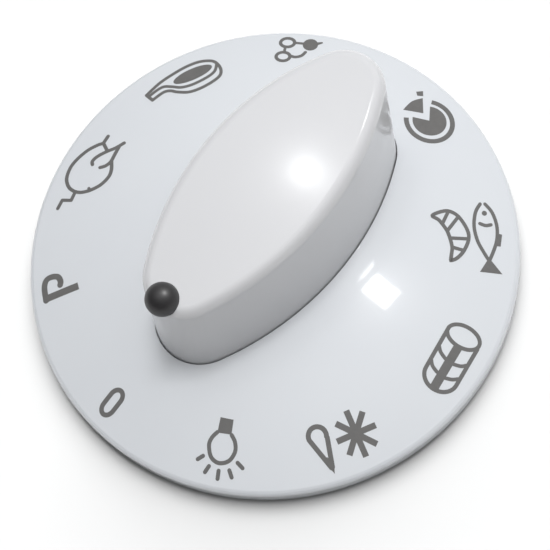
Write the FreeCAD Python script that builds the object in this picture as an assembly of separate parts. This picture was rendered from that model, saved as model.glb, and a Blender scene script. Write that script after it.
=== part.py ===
"""Oven control knob: a domed dial disc, an oval grip, a ball pointer and a spring band on the hub.

The knob stands on the flat back rim of the disc, at z = 0.  The axis of rotation is +Z, towards the
user, and the pointer lies towards +Y.  All sizes are in millimetres.
"""
import math
import os

import FreeCAD
import Part

# Dial disc
disc_radius = 30.0
rim_height = 2.4
dome_rise = 3.8
disc_wall = 1.6
rim_width = 2.6
rim_top_round = 0.7
rim_round_steps = 3
rim_foot_chamfer = 0.3

# Oval grip: its outline at the back plane, the draft and lean of its walls, and its crown
grip_length = 38.9
grip_width = 18.9
grip_end_radius = 6.0
grip_setback = 1.5
grip_draft = 3.0
grip_lean = 3.0
crown_height = 21.55
crown_tilt = 4.8
crown_rise = 1.0
crown_round = 1.3
grip_wall = 2.0
grip_roof = 2.4

# Joint between grip and disc
seam_gap = 0.12
seat_land = 2.0
seat_step = 0.1
flange_reach = 1.7
flange_thickness = 1.0
flange_play = 0.15
collar_wall = 1.2
barb_reach = 0.8
barb_length = 5.0
barb_spacing = 12.0
barb_play = 0.05
barb_thickness = 0.5
disc_rib_count = 12
disc_rib_thickness = 1.0
disc_rib_lift = 0.5

# Hub with its socket for a shaft with one flat
hub_radius = 5.2
hub_lift = 0.4
lead_in_radius = 3.25
lead_in_depth = 5.0
socket_radius = 3.05
socket_flat = 1.62
socket_depth = 17.0
slit_width = 0.9
slit_depth = 9.0
rib_thickness = 1.4
cross_rib_lift = 10.0
long_rib_lift = 13.0

# Spring band round the hub
band_lift = 2.6
band_width = 4.0
band_thickness = 0.45
band_groove = 0.3
band_play = 0.03
band_gap_angle = 50.0

# Ball pointer in the nose of the grip
ball_radius = 1.95
ball_height = 19.2
ball_setback = 0.9
stem_radius = 1.1
stem_length = 5.0
stem_slope = 45.0
pointer_play = 0.03
boss_wall = 1.2
stem_end_chamfer = 0.3

# Heights that follow from the sizes above
dome_top = rim_height + dome_rise
dome_sphere = (disc_radius ** 2 + dome_rise ** 2) / (2 * dome_rise)
dome_centre = dome_top - dome_sphere
rim_inner = disc_radius - rim_width
underside_top = dome_top - disc_wall
underside_edge = dome_centre + math.sqrt(dome_sphere ** 2 - rim_inner ** 2) - disc_wall
underside_slope = (underside_top - underside_edge) / rim_inner
grip_tail = grip_length / 2 + grip_setback
seat_z = underside_top - underside_slope * (grip_tail + seat_land) - seat_step
flange_z = seat_z - flange_thickness
barb_top = flange_z - barb_play
barb_low = barb_top - barb_thickness
collar_offset = flange_reach + flange_play
draft_slope = math.tan(math.radians(grip_draft))
lean_slope = math.tan(math.radians(grip_lean))
crown_slope = math.tan(math.radians(crown_tilt))
crown_middle = -grip_setback - crown_height * lean_slope
crown_half_length = grip_length / 2 - crown_height * draft_slope
crown_low = crown_height - 2 * crown_rise - crown_half_length * crown_slope
grip_top = crown_height + grip_length * crown_slope
grip_low = -grip_length * lean_slope

UP = FreeCAD.Vector(0, 0, 1)
SIDE = FreeCAD.Vector(-1, 0, 0)


def vector(x, y, z):
    return FreeCAD.Vector(x, y, z)


def cylinder(radius, z_low, z_high):
    return Part.makeCylinder(radius, z_high - z_low, vector(0, 0, z_low), UP)


def box(size_x, size_y, z_low, z_high, centre_x=0.0, centre_y=0.0):
    corner = vector(centre_x - size_x / 2, centre_y - size_y / 2, z_low)
    return Part.makeBox(size_x, size_y, z_high - z_low, corner)


def arc(start, middle, end):
    return Part.Arc(start, middle, end).toShape()


def oval_arcs(z, offset):
    """The upright grip's outline at height z, moved outwards by offset: four tangent arcs, long along Y.

    Each arc is given by its start, its end, its centre and a point at its middle.
    """
    half_length = grip_length / 2
    half_width = grip_width / 2
    reach = half_length - grip_end_radius
    side_radius = half_width ** 2 + reach ** 2 - grip_end_radius ** 2
    side_radius = side_radius / (2 * (half_width - grip_end_radius))
    side_centre = side_radius - half_width
    grow = offset - z * draft_slope
    share = (side_radius + grow) / (side_radius - grip_end_radius)
    tangent_x = side_centre * share - side_centre
    tangent_y = reach * share
    right_front = vector(tangent_x, tangent_y, z)
    right_back = vector(tangent_x, -tangent_y, z)
    left_front = vector(-tangent_x, tangent_y, z)
    left_back = vector(-tangent_x, -tangent_y, z)
    return [
        (right_back, right_front, vector(-side_centre, 0, z), vector(half_width + grow, 0, z)),
        (right_front, left_front, vector(0, reach, z), vector(0, half_length + grow, z)),
        (left_front, left_back, vector(side_centre, 0, z), vector(-half_width - grow, 0, z)),
        (left_back, right_back, vector(0, -reach, z), vector(0, -half_length - grow, z)),
    ]


def grip_oval(z, offset):
    return Part.Wire([arc(start, middle, end) for start, end, centre, middle in oval_arcs(z, offset)])


def oval_body(offset):
    """The drafted oval from below the back plane to above the crown, with a cone on each arc.

    It leans towards its tail, so that the wall there stands upright.
    """
    walls = []
    for low, high in zip(oval_arcs(grip_low, offset), oval_arcs(grip_top, offset)):
        start, end, centre, middle = low
        turn = math.degrees((start - centre).getAngle(end - centre))
        walls.append(Part.makeLine(start, high[0]).revolve(centre, UP, turn))
    ends = [Part.Face(grip_oval(grip_low, offset)), Part.Face(grip_oval(grip_top, offset))]
    shell = Part.Shell(walls + ends)
    shell.sewShape()
    solid = Part.Solid(shell)
    if solid.Volume < 0:
        solid.reverse()
    solid.rotate(vector(0, 0, 0), vector(1, 0, 0), grip_lean)
    solid.translate(vector(0, -grip_setback, 0))
    return solid


def oval_plate(z_low, z_high, offset):
    """A straight-sided plate with the grip's foot outline."""
    outline = grip_oval(0, offset)
    outline.translate(vector(0, -grip_setback, z_low))
    return Part.Face(outline).extrude(vector(0, 0, z_high - z_low))


def dome_ball(inset):
    """The sphere of the dome, with its poles at the sides."""
    return Part.makeSphere(dome_sphere - inset, vector(0, 0, dome_centre), SIDE)


def disc_shell():
    """The domed disc with its straight rim, turned about Z and cut to the dome.

    The rounded top edge of the rim is turned in short cones, and the last one runs on above the dome.
    """
    round_x = disc_radius - rim_top_round
    round_z = dome_centre + math.sqrt((dome_sphere - rim_top_round) ** 2 - round_x ** 2)
    dome_angle = math.atan2(round_z - dome_centre, round_x)
    rounding = []
    for step in range(rim_round_steps + 1):
        angle = dome_angle * step / rim_round_steps
        rounding.append(vector(round_x + rim_top_round * math.cos(angle), 0,
                               round_z + rim_top_round * math.sin(angle)))
    run_on = (dome_top - rounding[-2].z) / (rounding[-1].z - rounding[-2].z)
    rounding[-1] = rounding[-2] + (rounding[-1] - rounding[-2]) * run_on
    profile = [
        vector(0, 0, underside_top),
        vector(rim_inner, 0, underside_edge),
        vector(rim_inner, 0, 0),
        vector(disc_radius - rim_foot_chamfer, 0, 0),
        vector(disc_radius, 0, rim_foot_chamfer),
    ] + rounding + [vector(0, 0, dome_top)]
    outline = Part.makePolygon(profile + profile[:1])
    return Part.Face(outline).revolve(vector(0, 0, 0), UP, 360).common(dome_ball(0))


def disc_ribs():
    """Radial ribs under the disc, from its collar to its rim."""
    reach = disc_radius - rim_width / 2
    rib = box(reach, disc_rib_thickness, disc_rib_lift, dome_top, centre_x=reach / 2)
    ribs = []
    for index in range(disc_rib_count):
        turned = rib.copy()
        turned.rotate(vector(0, 0, 0), UP, 360.0 * (index + 0.5) / disc_rib_count)
        ribs.append(turned)
    return ribs


def barbs():
    """Four snap barbs on the collar, which hold the flange of the grip from behind."""
    ring = oval_plate(barb_low, barb_top, collar_offset + collar_wall / 2)
    ring = ring.cut(oval_plate(barb_low, barb_top, flange_reach - barb_reach))
    width = 2 * (grip_width + collar_offset + collar_wall)
    pairs = []
    for side in (-1, 1):
        place = side * barb_spacing / 2 - grip_setback
        pairs.append(ring.common(box(width, barb_length, barb_low, barb_top, centre_y=place)))
    return pairs


def dial_disc():
    seat = oval_plate(seat_z, dome_top, seat_land)
    collar = oval_plate(barb_low, dome_top, collar_offset + collar_wall)
    under = seat.multiFuse([collar] + disc_ribs()).common(dome_ball(disc_wall / 2))
    disc = disc_shell().fuse(under)
    disc = disc.cut(oval_plate(0, seat_z, collar_offset))
    disc = disc.cut(oval_body(seam_gap))
    disc = disc.multiFuse(barbs())
    return disc.removeSplitter()


def crown_ball(inset):
    """The sphere of the crown, which falls towards the nose, with its poles at the sides."""
    sphere = (crown_half_length ** 2 + crown_rise ** 2) / (2 * crown_rise)
    tilt = math.radians(crown_tilt)
    centre = vector(0, crown_middle, crown_height) - vector(0, math.sin(tilt), math.cos(tilt)) * sphere
    return Part.makeSphere(sphere - inset, centre, SIDE)


def grip_form(wall, roof):
    """The grip above the back of its flange, inset from its walls and its crown."""
    above = box(2 * grip_width, 2 * grip_length, flange_z, grip_top)
    return oval_body(-wall).common(above).common(crown_ball(roof))


def grip_outside():
    """The drafted oval with a gently domed crown and a rounded crown edge."""
    body = grip_form(0, 0)
    crown_edges = [edge for edge in body.Edges if edge.BoundBox.ZMin > crown_low]
    return body.makeFillet(crown_round, crown_edges)


def ball_centre():
    nose = grip_length / 2 - grip_setback - ball_height * (draft_slope + lean_slope)
    return vector(0, nose - ball_setback, ball_height)


def stem_direction():
    slope = math.radians(stem_slope)
    return vector(0, -math.cos(slope), -math.sin(slope))


def pointer_space(play):
    """The ball and its stem, grown by play."""
    centre = ball_centre()
    ball = Part.makeSphere(ball_radius + play, centre)
    stem = Part.makeCylinder(stem_radius + play, ball_radius + stem_length + play, centre, stem_direction())
    return ball, stem


def pointer():
    ball, stem = pointer_space(0)
    far_edges = [edge for edge in stem.Edges if is_far_stem_edge(edge)]
    stem = stem.makeChamfer(stem_end_chamfer, far_edges)
    return ball.fuse(stem).removeSplitter()


def is_far_stem_edge(edge):
    if edge.Degenerated or not isinstance(edge.Curve, Part.Circle):
        return False
    return (edge.Curve.Center - ball_centre()).Length > ball_radius + stem_length / 2


def hub_space():
    """What is cut from the hub: lead-in, socket with its flat, and the two slits."""
    lead_top = hub_lift + lead_in_depth
    socket_top = hub_lift + socket_depth
    lead_in = cylinder(lead_in_radius, hub_lift, lead_top)
    socket = cylinder(socket_radius, lead_top, socket_top)
    beyond_flat = box(socket_radius, 2 * socket_radius, lead_top, socket_top,
                      centre_x=socket_flat + socket_radius / 2)
    slits = box(slit_width, 2 * hub_radius, hub_lift, hub_lift + slit_depth)
    return lead_in.fuse(socket.cut(beyond_flat)).fuse(slits)


def band_groove_ring():
    low = hub_lift + band_lift - band_play
    high = hub_lift + band_lift + band_width + band_play
    return cylinder(hub_radius + band_groove, low, high).cut(cylinder(hub_radius - band_groove, low, high))


def grip():
    outside = grip_outside()
    flange = oval_plate(flange_z, seat_z, flange_reach)
    shell = outside.fuse(flange).cut(grip_form(grip_wall, grip_roof))
    hub = cylinder(hub_radius, hub_lift, grip_top)
    cross_rib = box(grip_width, rib_thickness, cross_rib_lift, grip_top)
    long_rib = box(rib_thickness, 2 * grip_length, long_rib_lift, grip_top)
    boss = Part.makeCylinder(stem_radius + boss_wall, ball_radius + stem_length + boss_wall,
                             ball_centre(), stem_direction())
    filled = oval_body(-grip_wall / 2).common(crown_ball(grip_roof / 2))
    inside = hub.multiFuse([cross_rib, long_rib, boss]).common(filled)
    body = shell.fuse(inside)
    body = body.cut(hub_space()).cut(band_groove_ring())
    for space in pointer_space(pointer_play):
        body = body.cut(space)
    return body.removeSplitter()


def shaft_clip():
    """A C-shaped band of spring steel in the groove of the hub."""
    inner = hub_radius - band_groove + band_play
    low = hub_lift + band_lift
    outer = inner + band_thickness
    ring = Part.makeCylinder(outer, band_width, vector(0, 0, low), UP, 360 - band_gap_angle)
    band = ring.cut(cylinder(inner, low, low + band_width))
    band.rotate(vector(0, 0, 0), UP, band_gap_angle / 2)
    return band


def main():
    os.makedirs("parts", exist_ok=True)
    pieces = {
        "dial_disc": dial_disc(),
        "grip": grip(),
        "pointer": pointer(),
        "shaft_clip": shaft_clip(),
    }
    for name, shape in pieces.items():
        shape.exportStep("parts/" + name + ".step")
        print(name, shape.isValid(), len(shape.Solids), round(shape.Volume, 1))


main()
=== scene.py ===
"""Looks of the oven control knob: finishes, printed signs, floor, lights and camera."""
import math

import bpy
from mathutils import Matrix, Vector
from mathutils.bvhtree import BVHTree


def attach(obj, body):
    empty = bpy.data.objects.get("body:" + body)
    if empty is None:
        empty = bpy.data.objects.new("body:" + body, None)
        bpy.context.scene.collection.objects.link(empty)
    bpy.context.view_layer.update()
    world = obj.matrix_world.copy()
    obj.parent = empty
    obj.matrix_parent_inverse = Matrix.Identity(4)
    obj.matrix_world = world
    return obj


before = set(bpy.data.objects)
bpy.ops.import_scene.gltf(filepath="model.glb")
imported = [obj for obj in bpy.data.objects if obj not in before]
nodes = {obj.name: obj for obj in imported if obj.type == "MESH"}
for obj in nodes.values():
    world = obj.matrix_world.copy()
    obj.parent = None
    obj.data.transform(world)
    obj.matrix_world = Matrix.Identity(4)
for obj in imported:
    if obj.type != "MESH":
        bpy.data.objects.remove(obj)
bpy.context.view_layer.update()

MM = 0.001

# Camera: place and aim in millimetres, its right-hand direction, its focal length in pixels of a frame
# that is 550 pixels wide, and its sensor's width in millimetres
FRAME_PIXELS = 550
CAMERA_PLACE = (-62.43, 36.34, 182.77)
CAMERA_AIM = (-1.34, 1.31, -0.7)
CAMERA_RIGHT = (-0.7495, -0.65, -0.1255)
FOCAL_PIXELS = 1600.0
SENSOR_WIDTH = 36.0

# Print on the dial, in millimetres: the film's lift over the dial, the extra lift of each further shape
# of a sign, its depth in the dial, the spacing of its points and the usual pen width
INK_LIFT = 0.015
INK_LAYER = 0.001
INK_SINK = 0.03
INK_STEP = 0.22
LINE = 0.44

# Fineness of the print: degrees between points on an ellipse and its fewest steps, steps between two
# given points of a curve, angles of the rows that round a line's end, sizes of the rings of a filled
# shape, and the distance in millimetres under which two points are one
ARC_STEP = 8
ARC_LEAST = 6
CURVE_STEPS = 6
CAP_ANGLES = (25, 50, 70, 84)
RING_SHARES = (1.0, 0.75, 0.5, 0.25)
SAME_POINT = 1e-6

# Height in metres from which the dial's surface is felt for the print
CAST_HEIGHT = 0.1

# Noise values that stand for the two ends of a range
NOISE_LOW = 0.15
NOISE_HIGH = 0.85

# Plastic of each node: material, two near colours, roughness, and the weight and roughness of the skin
PLASTICS = {
    "dial_disc": ("disc_white", (0.64, 0.66, 0.69), (0.66, 0.68, 0.705), 0.22, 0.6, 0.045),
    "grip": ("grip_white", (0.652, 0.653, 0.668), (0.667, 0.668, 0.681), 0.22, 0.35, 0.1),
    "pointer": ("pointer_dark", (0.025, 0.024, 0.025), (0.033, 0.031, 0.032), 0.44, 0.1, 0.3),
}

# Floor: half its width and its height in metres, its colour, and the lamp that lights it alone, by its
# direction, distance in metres, strength and angle in radians
FLOOR_HALF = 1.5
FLOOR_HEIGHT = -0.00003
FLOOR_COLOUR = (0.36, 0.36, 0.36, 1.0)
FLOOR_LAMP_FROM = (0.42, -0.54, 0.73)
FLOOR_LAMP_DISTANCE = 0.8
FLOOR_LAMP_STRENGTH = 7.6
FLOOR_LAMP_ANGLE = 1.05

# World: its colour, and its glows by direction, focus and level.  The last is a hot spot for the crown
SKY_COLOUR = (0.98, 0.99, 1.0, 1.0)
SKY_GLOWS = (
    ((0.1, 0.02, 0.99), 14.0, 1.0),
    ((0.05, -0.52, 0.85), 2.0, 1.18),
    ((0.3, -0.116, 0.947), 1900.0, 16.0),
)

# Lamps: direction from the knob, distance, width and depth in metres, radiance, turn in degrees, and
# the only node that the lamp lights, where there is one
LAMPS = {
    "key_softbox": ((0.04, -0.14, 0.99), 0.8, (0.16, 0.16), 31.4, 0.0, None),
    "disc_window": ((0.0043, -0.2766, 0.9609), 0.806, (0.063, 0.05), 30.0, 0.0, "dial_disc"),
    "disc_window_side": ((0.066, -0.2947, 0.9533), 0.806, (0.004, 0.05), 26.0, -8.0, "dial_disc"),
    "crown_window": ((0.2804, -0.1201, 0.9523), 0.82, (0.043, 0.041), 18.0, 29.0, None),
    "edge_window": ((0.06, -0.36, 0.93), 0.82, (0.05, 0.05), 40.0, 0.0, "grip"),
    "pointer_window": ((-0.03, -0.57, 0.82), 0.82, (0.2, 0.2), 50.0, 0.0, "pointer"),
}


def new_material(name):
    """A new material, its node tree and its Principled shader."""
    material = bpy.data.materials.new(name)
    material.use_nodes = True
    tree = material.node_tree
    shader = tree.nodes["Principled BSDF"]
    return material, tree, shader


def noise(tree, scale, detail=2.0):
    """Object-space noise of the given scale, in cells per metre."""
    place = tree.nodes.new("ShaderNodeTexCoord")
    texture = tree.nodes.new("ShaderNodeTexNoise")
    texture.inputs["Scale"].default_value = scale
    texture.inputs["Detail"].default_value = detail
    tree.links.new(place.outputs["Object"], texture.inputs["Vector"])
    return texture.outputs["Fac"]


def spread(tree, factor, low, high):
    """Map a noise value to a range."""
    ranged = tree.nodes.new("ShaderNodeMapRange")
    ranged.inputs["From Min"].default_value = NOISE_LOW
    ranged.inputs["From Max"].default_value = NOISE_HIGH
    ranged.inputs["To Min"].default_value = low
    ranged.inputs["To Max"].default_value = high
    tree.links.new(factor, ranged.inputs["Value"])
    return ranged.outputs["Result"]


def tint(tree, factor, first, second):
    """Blend two near colours by a noise value."""
    ramp = tree.nodes.new("ShaderNodeValToRGB")
    ramp.color_ramp.elements[0].position = NOISE_LOW
    ramp.color_ramp.elements[0].color = (*first, 1.0)
    ramp.color_ramp.elements[1].position = NOISE_HIGH
    ramp.color_ramp.elements[1].color = (*second, 1.0)
    tree.links.new(factor, ramp.inputs["Fac"])
    return ramp.outputs["Color"]


def add_bump(tree, shader, factor, strength, distance):
    """Roughen a shader's surface by a noise value."""
    bump = tree.nodes.new("ShaderNodeBump")
    bump.inputs["Strength"].default_value = strength
    bump.inputs["Distance"].default_value = distance
    tree.links.new(factor, bump.inputs["Height"])
    tree.links.new(bump.outputs["Normal"], shader.inputs["Normal"])


def gloss_plastic(name, first, second, roughness, skin_weight, skin_roughness):
    """Moulded gloss plastic: faint cloudiness, a polished skin and a slight orange peel."""
    material, tree, shader = new_material(name)
    cloud = noise(tree, 90.0)
    peel = noise(tree, 700.0, detail=1.0)
    tree.links.new(tint(tree, cloud, first, second), shader.inputs["Base Color"])
    gloss = spread(tree, noise(tree, 400.0), low=roughness * 0.9, high=roughness * 1.1)
    tree.links.new(gloss, shader.inputs["Roughness"])
    shader.inputs["Specular IOR Level"].default_value = 0.4
    shader.inputs["Coat Weight"].default_value = skin_weight
    shader.inputs["Coat Roughness"].default_value = skin_roughness
    add_bump(tree, shader, peel, strength=0.02, distance=0.00002)
    return material


def spring_steel():
    """Rolled spring strip with a fine grain."""
    material, tree, shader = new_material("spring_steel")
    grain = noise(tree, 2500.0, detail=4.0)
    steel = tint(tree, grain, (0.42, 0.43, 0.44), (0.60, 0.61, 0.62))
    tree.links.new(steel, shader.inputs["Base Color"])
    tree.links.new(spread(tree, grain, low=0.24, high=0.4), shader.inputs["Roughness"])
    shader.inputs["Metallic"].default_value = 1.0
    add_bump(tree, shader, grain, strength=0.15, distance=0.00002)
    return material


def pad_print_ink():
    """Grey pad-print ink with a slightly uneven film."""
    material, tree, shader = new_material("dial_ink")
    film = noise(tree, 1500.0, detail=4.0)
    grey = tint(tree, film, (0.122, 0.119, 0.115), (0.148, 0.144, 0.14))
    tree.links.new(grey, shader.inputs["Base Color"])
    tree.links.new(spread(tree, film, low=0.35, high=0.5), shader.inputs["Roughness"])
    add_bump(tree, shader, film, strength=0.1, distance=0.00001)
    return material


def finish_node(name, material):
    """Give a CAD node its material."""
    mesh = nodes[name].data
    mesh.materials.clear()
    mesh.materials.append(material)


def ellipse(centre, half, start=0.0, end=360.0, lean=0.0):
    """Points on an ellipse or a part of one, in millimetres, turned left by lean degrees."""
    count = max(ARC_LEAST, int(abs(end - start) / ARC_STEP))
    turn = math.radians(lean)
    points = []
    for index in range(count + 1):
        angle = math.radians(start + (end - start) * index / count)
        x = half[0] * math.cos(angle)
        y = half[1] * math.sin(angle)
        points.append((
            centre[0] + x * math.cos(turn) - y * math.sin(turn),
            centre[1] + x * math.sin(turn) + y * math.cos(turn),
        ))
    return points


def curve(points):
    """A smooth line through the points."""
    ends = [points[0]] + list(points) + [points[-1]]
    line = []
    for before, start, end, after in zip(ends, ends[1:], ends[2:], ends[3:]):
        for step in range(CURVE_STEPS):
            t = step / CURVE_STEPS
            line.append(tuple(
                0.5 * (2 * b + (c - a) * t + (2 * a - 5 * b + 4 * c - d) * t ** 2
                       + (3 * b - a - 3 * c + d) * t ** 3)
                for a, b, c, d in zip(before, start, end, after)
            ))
    line.append(tuple(points[-1]))
    return line


def even_steps(points):
    """The same line with points about one ink step apart, its corners kept."""
    line = [Vector(points[0])]
    for point in points[1:]:
        start = line[-1]
        end = Vector(point)
        count = max(1, round((end - start).length / INK_STEP))
        line.extend(start.lerp(end, index / count) for index in range(1, count + 1))
    return line


def stroke(points, width=LINE, round_ends=True):
    """A pen line as a strip of quads: a list of points and a list of faces."""
    line = even_steps(points)
    closed = (line[0] - line[-1]).length < SAME_POINT
    half = width / 2
    rows = []
    for index, point in enumerate(line):
        before = line[index - 1] if index else (line[-2] if closed else line[0])
        after = line[index + 1] if index + 1 < len(line) else (line[1] if closed else line[-1])
        along = (after - before).normalized()
        rows.append((point, along, half))
    if round_ends and not closed:
        rows = end_cap(rows[0], -1)[::-1] + rows + end_cap(rows[-1], 1)
    points_out = []
    for point, along, reach in rows:
        across = Vector((-along.y, along.x)) * reach
        points_out += [point + across, point - across]
    faces = [(2 * i + 1, 2 * i + 3, 2 * i + 2, 2 * i) for i in range(len(rows) - 1)]
    return points_out, faces


def end_cap(row, side):
    """Narrowing rows that round the end of a pen line."""
    point, along, half = row
    cap = []
    for angle in CAP_ANGLES:
        forward = half * math.sin(math.radians(angle))
        cap.append((point + along * forward * side, along, half * math.cos(math.radians(angle))))
    return cap


def patch(points):
    """A filled shape as rings that shrink to its middle."""
    line = even_steps(list(points) + [points[0]])[:-1]
    middle = sum(line, Vector((0.0, 0.0))) / len(line)
    points_out = [middle.lerp(point, share) for share in RING_SHARES for point in line]
    count = len(line)
    faces = []
    for ring in range(len(RING_SHARES) - 1):
        for index in range(count):
            here = ring * count + index
            beside = ring * count + (index + 1) % count
            faces.append((here, beside, beside + count, here + count))
    last = (len(RING_SHARES) - 1) * count
    points_out.append(middle)
    faces += [(last + index, last + (index + 1) % count, len(points_out) - 1) for index in range(count)]
    return points_out, faces


def dial_surface():
    """Returns a function that gives the height of the dial at x, y in metres."""
    mesh = nodes["dial_disc"].data
    tree = BVHTree.FromPolygons([v.co for v in mesh.vertices], [p.vertices for p in mesh.polygons])

    def height(x, y):
        hit = tree.ray_cast(Vector((x, y, CAST_HEIGHT)), Vector((0, 0, -1)))
        return hit[0].z

    return height


def print_sign(name, place, shapes, height, ink):
    """Lay flat shapes on the dial as a thin film, their tops pointing outwards.

    The place is the distance from the axis, the angle from +X, the sign's own turn and its stretch
    outwards.
    """
    radius, angle, own_turn, stretch = place
    centre = Matrix.Rotation(math.radians(angle), 2) @ Vector((radius, 0.0))
    outward = Matrix.Rotation(math.radians(angle + own_turn), 2) @ Vector((1.0, 0.0))
    aside = Vector((outward.y, -outward.x))
    verts = []
    faces = []
    for layer, (flat, flat_faces) in enumerate(shapes):
        first = len(verts)
        lift = INK_LIFT + INK_LAYER * layer
        count = len(flat)
        places = [(centre + outward * point[1] * stretch + aside * point[0]) * MM for point in flat]
        heights = [height(p.x, p.y) for p in places]
        verts += [(p.x, p.y, z + lift * MM) for p, z in zip(places, heights)]
        verts += [(p.x, p.y, z - INK_SINK * MM) for p, z in zip(places, heights)]
        faces += film_faces(flat, flat_faces, first, count)
    mesh = bpy.data.meshes.new(name)
    mesh.from_pydata(verts, [], faces)
    mesh.validate()
    mesh.materials.append(ink)
    sign = bpy.data.objects.new(name, mesh)
    bpy.context.scene.collection.objects.link(sign)
    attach(sign, "root")


def film_faces(flat, flat_faces, first, count):
    """Top, bottom and side faces of a thin film, with outward normals."""
    tops = []
    for face in flat_faces:
        corners = [flat[index] for index in face]
        area = sum(a[0] * b[1] - b[0] * a[1] for a, b in zip(corners, corners[1:] + corners[:1]))
        tops.append(tuple(face) if area > 0 else tuple(reversed(face)))
    edges = {}
    for face in tops:
        for start, end in zip(face, face[1:] + face[:1]):
            edges[(start, end)] = True
    sides = [(start, start + count, end + count, end) for start, end in edges if (end, start) not in edges]
    bottoms = [tuple(index + count for index in reversed(face)) for face in tops]
    return [tuple(first + index for index in face) for face in tops + bottoms + sides]


def sign_zero():
    """A nought."""
    upper = ellipse((0.1, 0.75), (0.76, 0.98), start=0, end=180, lean=5)
    lower = ellipse((0.22, -0.65), (0.76, 0.98), start=180, end=360, lean=5)
    ring = upper + lower
    return [stroke(ring + ring[:1], width=0.58)]


def sign_lamp():
    """A bulb with its cap and five rays."""
    bulb = curve([(-0.72, -1.2), (-1.3, -0.5), (-1.56, 0.55), (-1.1, 1.7), (0.0, 2.2),
                  (1.05, 1.75), (1.62, 0.5), (1.5, -0.4), (1.02, -1.15)])
    cap = [(-0.68, -1.25), (1.0, -1.1), (1.06, -2.9), (-0.52, -2.95)]
    rays = [
        [(-2.85, 2.12), (-2.15, 1.68)],
        [(-1.85, 3.42), (-1.4, 2.72)],
        [(-0.27, 3.95), (-0.18, 3.05)],
        [(1.36, 3.55), (1.06, 2.8)],
        [(2.55, 2.33), (2.02, 1.83)],
    ]
    return [stroke(bulb, width=0.48), patch(cap)] + [stroke(ray, width=0.48) for ray in rays]


def sign_defrost():
    """A frost star beside a drop."""
    arms = [
        [(-2.47, 2.5), (-1.88, -3.15)],
        [(-0.68, 1.8), (-3.65, -2.5)],
        [(0.22, -0.08), (-4.62, -0.6)],
        [(-0.28, -2.08), (-4.1, 1.5)],
    ]
    drop = ([(1.62, 2.75), (1.13, -0.9)] + ellipse((2.18, -1.35), (1.05, 1.08), start=160, end=370)
            + [(1.62, 2.75)])
    tip = [(1.3, 2.2), (1.56, 3.3), (2.2, 1.9), (1.85, 1.2)]
    return ([stroke(arm, width=0.72, round_ends=False) for arm in arms]
            + [stroke(drop, width=0.58), patch(tip)])


def sign_roll():
    """A sliced roll with a bar along it."""
    body = ([(-2.9, -2.35), (2.6, -1.95)] + ellipse((2.5, 0.1), (1.75, 2.05), start=-90, end=90, lean=3)
            + [(-2.6, 1.85)])
    face = ellipse((-2.88, -0.28), (1.28, 2.08), lean=4)
    bar = [(-1.6, -0.16), (4.1, 0.15)]
    slices = [
        [(-0.25, 1.85), (0.2, 1.35), (0.5, 0.5)],
        [(0.5, -0.6), (0.15, -1.5), (-0.35, -2.05)],
        [(1.65, 1.9), (2.1, 1.35), (2.4, 0.6)],
        [(2.35, -0.6), (2.05, -1.4), (1.55, -1.9)],
    ]
    return ([stroke(body, width=0.5), stroke(face, width=0.48), stroke(bar, width=1.1, round_ends=False)]
            + [stroke(curve(line)) for line in slices])


def sign_bake():
    """A fish over a crescent roll."""
    back = curve([(-4.3, 2.22), (-3.2, 3.02), (-1.5, 3.47), (0.3, 3.35), (1.8, 2.8), (3.0, 2.2)])
    belly = curve([(-4.3, 1.6), (-3.2, 0.95), (-1.4, 0.65), (0.4, 0.93), (1.8, 1.55), (3.0, 2.2)])
    gill = curve([(-1.6, 2.75), (-1.5, 2.1), (-1.75, 1.4)])
    fin = [(-0.5, 3.5), (-0.35, 4.05), (1.18, 3.75), (1.1, 3.1)]
    tail = [(2.6, 2.2), (4.65, 3.7), (4.35, 0.95)]
    crescent = curve([(2.95, -2.55), (2.65, -1.75), (1.75, -0.85), (0.3, -0.15), (-1.0, -0.25),
                      (-2.65, -1.2), (-3.35, -2.3), (-3.3, -3.3), (-2.8, -4.45), (-2.3, -3.75),
                      (-1.75, -3.3), (-0.85, -2.75), (0.2, -2.42), (1.3, -2.25), (2.2, -2.4),
                      (2.95, -2.55)])
    bands = [
        [(0.22, -0.15), (0.1, -2.4)],
        [(1.7, -0.8), (1.25, -2.25)],
        [(-2.65, -1.2), (-0.8, -2.72)],
        [(-3.35, -2.4), (-1.75, -3.25)],
    ]
    eye = ellipse((-3.1, 2.05), (0.32, 0.32))[:-1]
    return ([stroke(line) for line in (back, belly, gill)]
            + [patch(eye), patch(fin), patch(tail), stroke(crescent, width=0.46)]
            + [stroke(band) for band in bands])


def sign_pie():
    """A round pan in a ring, with one slice drawn out."""
    pan = [(-0.05, 0.0)] + ellipse((0.0, 0.0), (2.15, 2.12), start=-143, end=135)
    ring = ellipse((0.02, -0.05), (2.97, 2.82), start=-137, end=130)
    slice_out = [(-1.3, 0.15)] + curve([(-3.02, 1.65), (-3.5, 0.2), (-3.25, -1.5)])
    crumb = [(-3.78, 2.4), (-3.2, 1.9), (-3.72, 1.35), (-4.25, 1.65)]
    return [patch(pan), stroke(ring, width=0.62, round_ends=False), patch(slice_out), patch(crumb)]


def sign_grapes():
    """Small fruit with stems and a leaf."""
    rings = [ellipse((-1.68, 1.08), (0.9, 0.7)), ellipse((-1.92, -1.17), (0.88, 0.68))]
    stems = [[(-0.8, 1.12), (0.5, 1.05)], [(-1.85, 0.35), (-1.88, -0.45)]]
    arc = curve([(-1.05, -1.0), (-0.35, -1.15), (0.4, -0.88), (0.82, -0.3)])
    leaf = [(1.9, 1.35), (2.75, 1.5), (2.85, 1.3), (2.0, 0.85)]
    return ([stroke(ring) for ring in rings] + [stroke(stem, width=0.36) for stem in stems]
            + [stroke(arc, width=0.42), patch(ellipse((1.28, 0.93), (0.97, 0.92))[:-1]), patch(leaf)])


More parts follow.
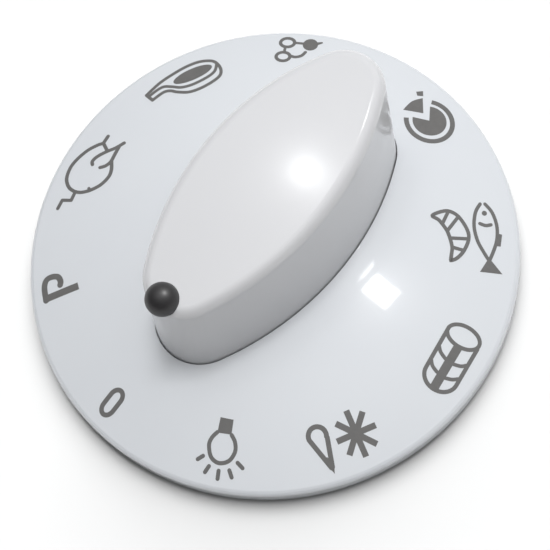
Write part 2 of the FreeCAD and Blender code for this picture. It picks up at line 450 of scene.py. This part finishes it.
def sign_chop():
    """A chop with a dark middle."""
    outline = curve([(-5.15, 0.65), (-3.0, 1.38), (-1.0, 1.7), (1.0, 1.84), (2.8, 1.63), (4.2, 0.95),
                     (4.68, 0.1), (4.7, -0.9), (4.2, -1.65), (3.0, -2.0), (1.4, -2.1), (-0.2, -1.85),
                     (-1.5, -1.05), (-2.2, -0.42), (-3.1, -0.15), (-4.75, -0.45)])
    end = [(-5.15, 0.65), (-4.75, -0.45)]
    edge = curve([(-4.9, 0.3), (-3.8, 0.58), (-2.7, 0.6), (-1.8, 0.05), (-0.8, -0.68), (0.6, -1.05),
                  (2.6, -1.05), (3.9, -0.7), (4.55, 0.1)])
    return [stroke(outline, width=0.42), stroke(end), stroke(edge, width=0.4),
            patch(ellipse((1.28, 0.35), (2.65, 0.85), lean=-3)[:-1])]


def sign_hen():
    """A roast hen with its leg."""
    top = curve([(-3.35, 0.45), (-3.05, 1.45), (-2.1, 2.3), (-0.6, 2.58), (0.8, 2.32), (2.3, 1.65),
                 (3.4, 0.8), (3.85, 0.25)])
    under = curve([(-3.35, 0.45), (-3.15, -0.4), (-2.5, -1.35), (-1.4, -2.25), (-0.1, -2.68), (0.9, -2.55),
                   (1.9, -2.05)])
    leg = curve([(0.75, 0.08), (1.2, 0.3), (2.0, 0.0), (3.0, -0.8), (3.8, -1.6), (4.8, -2.3)])
    thigh = curve([(0.7, -1.05), (1.15, -1.6), (1.9, -1.95), (3.0, -1.95), (4.1, -1.95)])
    hip = [(3.1, -0.8), (3.8, 0.05)]
    foot = [(3.85, 0.2), (5.0, 0.1)]
    neck = [(-3.3, 0.38), (-4.55, 0.32), (-4.9, 1.42), (-6.1, 1.45)]
    wing = [(-2.35, -1.05), (-2.6, -1.3)]
    return ([stroke(line, width=0.46) for line in (top, under, leg, thigh, hip, foot)]
            + [stroke(pair) for pair in zip(neck, neck[1:])] + [stroke(wing, width=0.4)])


def sign_p():
    """The letter P."""
    stem = [(-0.92, 2.3), (-0.36, -2.15)]
    bowl = curve([(-1.1, 2.05), (0.6, 2.08), (1.5, 1.72), (1.72, 1.0), (1.5, 0.25), (0.85, -0.02),
                  (0.4, 0.08)])
    return [stroke(stem, width=0.92, round_ends=False), stroke(bowl, width=0.74)]


def print_dial(ink):
    """All signs in their places: distance, angle, own turn and stretch."""
    height = dial_surface()
    signs = [
        ("sign_zero", (26.3, 85.8, -1.3, 1.0), sign_zero()),
        ("sign_lamp", (24.6, 118.4, -2.7, 1.0), sign_lamp()),
        ("sign_defrost", (25.45, 149.5, -2.4, 0.99), sign_defrost()),
        ("sign_roll", (25.9, 186.7, -0.6, 0.97), sign_roll()),
        ("sign_bake", (24.05, 221.5, 1.0, 0.955), sign_bake()),
        ("sign_pie", (25.35, 259.6, 1.3, 0.95), sign_pie()),
        ("sign_grapes", (27.1, 303.0, 0.6, 1.0), sign_grapes()),
        ("sign_chop", (25.7, 335.9, 1.0, 1.05), sign_chop()),
        ("sign_hen", (25.4, 13.7, 1.4, 1.065), sign_hen()),
        ("sign_p", (25.9, 49.4, 0.6, 1.04), sign_p()),
    ]
    for name, place, shapes in signs:
        print_sign(name, place, shapes, height, ink)


def light_only(lamp, thing):
    """Let a lamp light one piece and nothing else."""
    lit = bpy.data.collections.new(lamp.name + "_receiver")
    lit.objects.link(thing)
    lamp.light_linking.receiver_collection = lit


def aim(lamp, direction, distance, turn=0.0):
    """Place a lamp in a direction from the knob, facing it."""
    away = Vector(direction).normalized()
    lamp.location = away * distance
    facing = (-away).to_track_quat("-Z", "Y").to_matrix().to_4x4()
    lamp.rotation_euler = (facing @ Matrix.Rotation(math.radians(turn), 4, "Z")).to_euler()


def area_light(name, direction, distance, size, radiance, turn):
    """A rectangular soft light, by its width and depth in metres and its radiance."""
    data = bpy.data.lights.new(name, "AREA")
    data.shape = "RECTANGLE"
    data.size, data.size_y = size
    data.energy = radiance * math.pi * size[0] * size[1]
    lamp = bpy.data.objects.new(name, data)
    bpy.context.scene.collection.objects.link(lamp)
    aim(lamp, direction, distance, turn)
    return lamp


def add_floor():
    """A plain floor just under the back rim, which its own lamp makes white."""
    quarters = [(-1, -1), (1, -1), (1, 1), (-1, 1)]
    corners = [(x * FLOOR_HALF, y * FLOOR_HALF, FLOOR_HEIGHT) for x, y in quarters]
    mesh = bpy.data.meshes.new("floor")
    mesh.from_pydata(corners, [], [(0, 1, 2, 3)])
    floor = bpy.data.objects.new("floor", mesh)
    bpy.context.scene.collection.objects.link(floor)
    material, _, shader = new_material("floor_white")
    shader.inputs["Base Color"].default_value = FLOOR_COLOUR
    shader.inputs["Roughness"].default_value = 0.9
    shader.inputs["Specular IOR Level"].default_value = 0.1
    mesh.materials.append(material)
    data = bpy.data.lights.new("floor_lamp", "SUN")
    data.energy = FLOOR_LAMP_STRENGTH
    data.angle = FLOOR_LAMP_ANGLE
    lamp = bpy.data.objects.new("floor_lamp", data)
    bpy.context.scene.collection.objects.link(lamp)
    aim(lamp, FLOOR_LAMP_FROM, FLOOR_LAMP_DISTANCE)
    light_only(lamp, floor)


def sky_glow(tree, direction, focus, level):
    """Light from the world that fades smoothly away from one direction."""
    place = tree.nodes.new("ShaderNodeTexCoord")
    nearness = tree.nodes.new("ShaderNodeVectorMath")
    nearness.operation = "DOT_PRODUCT"
    nearness.inputs[1].default_value = Vector(direction).normalized()
    tree.links.new(place.outputs["Generated"], nearness.inputs[0])
    front = tree.nodes.new("ShaderNodeMath")
    front.operation = "MAXIMUM"
    front.inputs[1].default_value = 0.0
    tree.links.new(nearness.outputs["Value"], front.inputs[0])
    fade = tree.nodes.new("ShaderNodeMath")
    fade.operation = "POWER"
    fade.inputs[1].default_value = focus
    tree.links.new(front.outputs["Value"], fade.inputs[0])
    glow = tree.nodes.new("ShaderNodeMath")
    glow.operation = "MULTIPLY"
    glow.inputs[1].default_value = level
    tree.links.new(fade.outputs["Value"], glow.inputs[0])
    return glow.outputs["Value"]


def add_world():
    """Glows overhead and behind the tail, and a hot spot for the crown's highlight."""
    world = bpy.data.worlds.new("studio")
    world.use_nodes = True
    tree = world.node_tree
    background = tree.nodes["Background"]
    background.inputs["Color"].default_value = SKY_COLOUR
    level = sky_glow(tree, *SKY_GLOWS[0])
    for direction, focus, strength in SKY_GLOWS[1:]:
        both = tree.nodes.new("ShaderNodeMath")
        both.operation = "ADD"
        tree.links.new(level, both.inputs[0])
        tree.links.new(sky_glow(tree, direction, focus, strength), both.inputs[1])
        level = both.outputs["Value"]
    tree.links.new(level, background.inputs["Strength"])
    bpy.context.scene.world = world


def add_lights():
    """The world's glows, a key lamp that leaves no mirror image, and small lamps for the highlights."""
    add_world()
    lamps = {}
    for name, (direction, distance, size, radiance, turn, only) in LAMPS.items():
        lamps[name] = area_light(name, direction, distance, size, radiance, turn)
        if only:
            light_only(lamps[name], nodes[only])
    lamps["key_softbox"].visible_glossy = False
    lamps["pointer_window"].visible_diffuse = False


def add_camera():
    """The photo's view: the camera's own right-hand direction sets its roll."""
    data = bpy.data.cameras.new("camera")
    data.sensor_width = SENSOR_WIDTH
    data.lens = FOCAL_PIXELS * SENSOR_WIDTH / FRAME_PIXELS
    data.clip_start = 0.01
    data.clip_end = 10.0
    camera = bpy.data.objects.new("camera", data)
    bpy.context.scene.collection.objects.link(camera)
    place = Vector(CAMERA_PLACE) * MM
    forward = (Vector(CAMERA_AIM) * MM - place).normalized()
    right = Vector(CAMERA_RIGHT)
    right = (right - forward * right.dot(forward)).normalized()
    up = right.cross(forward)
    turn = Matrix((right, up, -forward)).transposed().to_4x4()
    camera.matrix_world = Matrix.Translation(place) @ turn
    bpy.context.scene.camera = camera


for node, finish in PLASTICS.items():
    finish_node(node, gloss_plastic(*finish))
finish_node("shaft_clip", spring_steel())
print_dial(pad_print_ink())
add_floor()
add_lights()
add_camera()
bpy.context.scene.view_settings.view_transform = "Standard"
